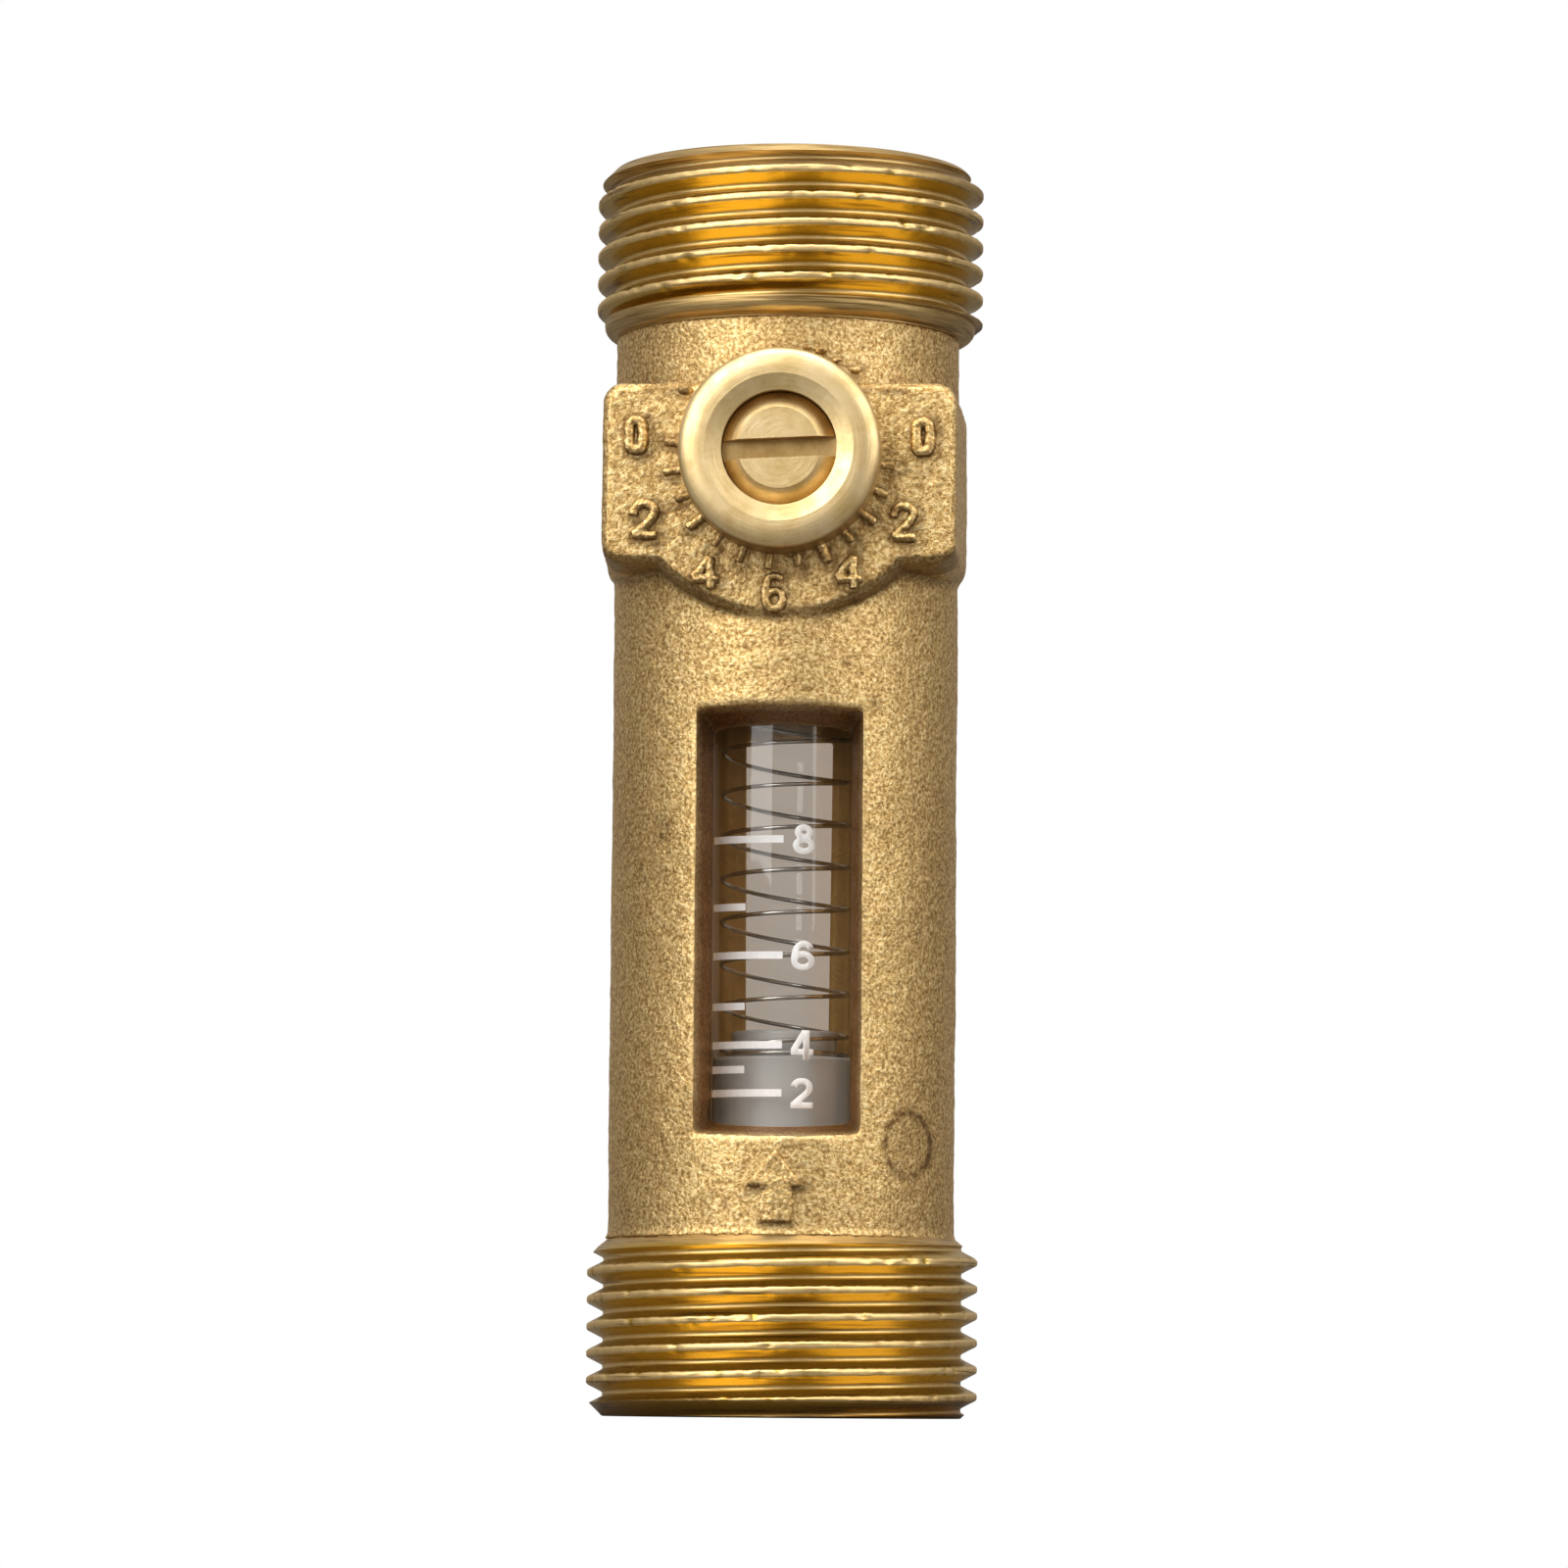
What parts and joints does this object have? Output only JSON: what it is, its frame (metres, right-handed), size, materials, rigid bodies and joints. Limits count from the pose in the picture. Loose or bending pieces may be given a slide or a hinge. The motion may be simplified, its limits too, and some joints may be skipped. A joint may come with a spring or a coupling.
{
  "type": "inline balancing valve with flow meter",
  "caption": "Brass inline balancing valve with male pipe threads, a sight-glass flow meter with a sprung float, and a slotted ball valve stem in a dial.",
  "frame": {"origin": "centre of the inlet end face, on the flow axis", "axes": "+Z along the flow from inlet to outlet, -Y out of the dial and the front window, +X to the right as the dial is read"},
  "size_m": [0.0264, 0.0288, 0.085],
  "materials": {
    "cast_brass": "as cast, satin",
    "turned_brass": "turned",
    "clear_tube": "polished, clear",
    "spring_steel": "drawn wire",
    "grey_plastic": "moulded, smooth",
    "white_plastic": "moulded",
    "seat_plastic": "turned, waxy",
    "seal_rubber": "matt",
    "plated_ball": "polished"
  },
  "bodies": {
    "root": {"valve_body": "cast_brass", "sight_tube": "clear_tube", "tube_seal_lower": "seal_rubber", "tube_seal_upper": "seal_rubber", "float_seat": "white_plastic", "tube_retainer": "turned_brass", "float_spring": "spring_steel", "spring_seat": "white_plastic", "ball_seat_inlet": "seat_plastic", "ball_seat_outlet": "seat_plastic", "seat_seal_inlet": "seal_rubber", "seat_seal_outlet": "seal_rubber", "seat_retainer": "turned_brass", "thrust_washer": "seat_plastic"},
    "stem_body": {"stem": "turned_brass", "ball": "plated_ball", "stem_seal_outer": "seal_rubber", "stem_seal_inner": "seal_rubber"},
    "float_body": {"float": "grey_plastic"}
  },
  "joints": [
    {"name": "stem_turn", "type": "hinge", "parent": "root", "child": "stem_body", "pos_m": [0, 0, 0.064], "axis": [0, -1, 0], "continuous": true},
    {"name": "float_slide", "type": "slide", "parent": "root", "child": "float_body", "axis": [0, 0, 1], "range_m": [0, 0.021], "stiffness_N_per_m": 30, "springref_m": -0.005, "deforming": ["float_spring"]}
  ]
}
